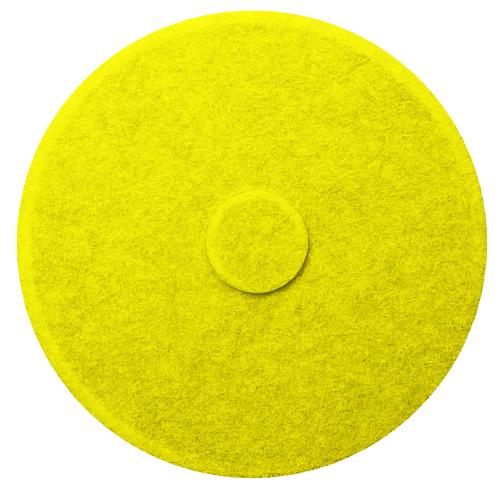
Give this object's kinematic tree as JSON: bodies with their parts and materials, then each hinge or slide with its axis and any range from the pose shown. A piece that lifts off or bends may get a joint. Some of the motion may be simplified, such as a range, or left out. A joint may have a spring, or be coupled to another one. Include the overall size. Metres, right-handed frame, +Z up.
{
  "type": "floor polishing pad",
  "caption": "Thick round nonwoven fibre pad for a rotary floor polisher, with its die-cut centre plug still in the hole and standing slightly proud.",
  "frame": {"origin": "on the lower face, under the middle of the disc", "axes": "+Z up through the thickness, out of the face that the centre plug stands proud of; +X towards the side that the centre hole is shifted to"},
  "size_m": [0.381, 0.381, 0.029],
  "materials": {
    "disc_web": "open web of crimped yellow fibres bonded with resin",
    "plug_web": "the same open web, cut from the disc"
  },
  "bodies": {
    "pad": {"pad_disc": "disc_web"},
    "plug": {"centre_plug": "plug_web"}
  },
  "joints": [
    {"name": "plug_push", "type": "slide", "parent": "pad", "child": "plug", "axis": [0, 0, 1], "range_m": [-0.004, 0.035]}
  ]
}
